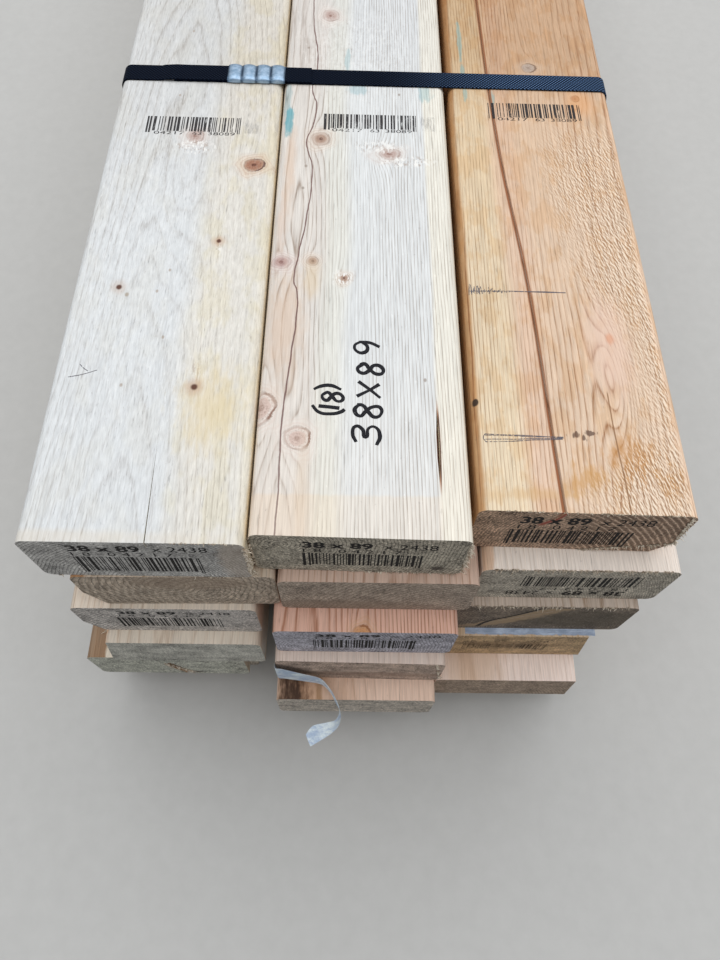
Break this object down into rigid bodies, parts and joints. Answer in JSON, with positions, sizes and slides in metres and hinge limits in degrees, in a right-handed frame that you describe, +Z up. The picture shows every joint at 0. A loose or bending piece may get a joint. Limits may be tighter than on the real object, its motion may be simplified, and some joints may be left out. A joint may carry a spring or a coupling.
{
  "type": "bundle of pine studs",
  "caption": "Strapped bundle of softwood framing studs laid flat in columns, with uneven ends, plastic straps, crimped seals and torn scraps of wrap.",
  "frame": {"origin": "centre of the bundle's bounding box, on the floor", "axes": "+Y along the studs, away from the ends with the torn wrap; +X to the right seen from those ends; +Z up"},
  "size_m": [0.2976, 2.5096, 0.2344],
  "materials": {
    "pale_pine": "planed, unfinished softwood, cream white with faint grain",
    "pink_pine": "planed, unfinished softwood with a salmon tint",
    "amber_pine": "planed, unfinished softwood, orange tan with resin",
    "strap_plastic": "embossed plastic strapping, satin",
    "seal_steel": "thin crimped steel, dull zinc",
    "wrap_film": "torn woven film, pale blue, slightly glossy"
  },
  "bodies": {
    "root": {"stud_left_1": "pale_pine", "stud_left_2": "pale_pine", "stud_left_3": "pale_pine", "stud_left_4": "pale_pine", "stud_left_5": "pale_pine", "stud_left_6": "pale_pine", "stud_middle_1": "pale_pine", "stud_middle_2": "pale_pine", "stud_middle_3": "pink_pine", "stud_middle_4": "pink_pine", "stud_middle_5": "pale_pine", "stud_middle_6": "pale_pine", "stud_right_1": "amber_pine", "stud_right_2": "pale_pine", "stud_right_3": "pale_pine", "stud_right_4": "amber_pine", "stud_right_5": "pink_pine", "stud_right_6": "pale_pine", "strap_front": "strap_plastic", "strap_rear": "strap_plastic", "strap_front_seal": "seal_steel", "strap_rear_seal": "seal_steel", "wrap_strip": "wrap_film", "wrap_scrap": "wrap_film"}
  },
  "joints": []
}
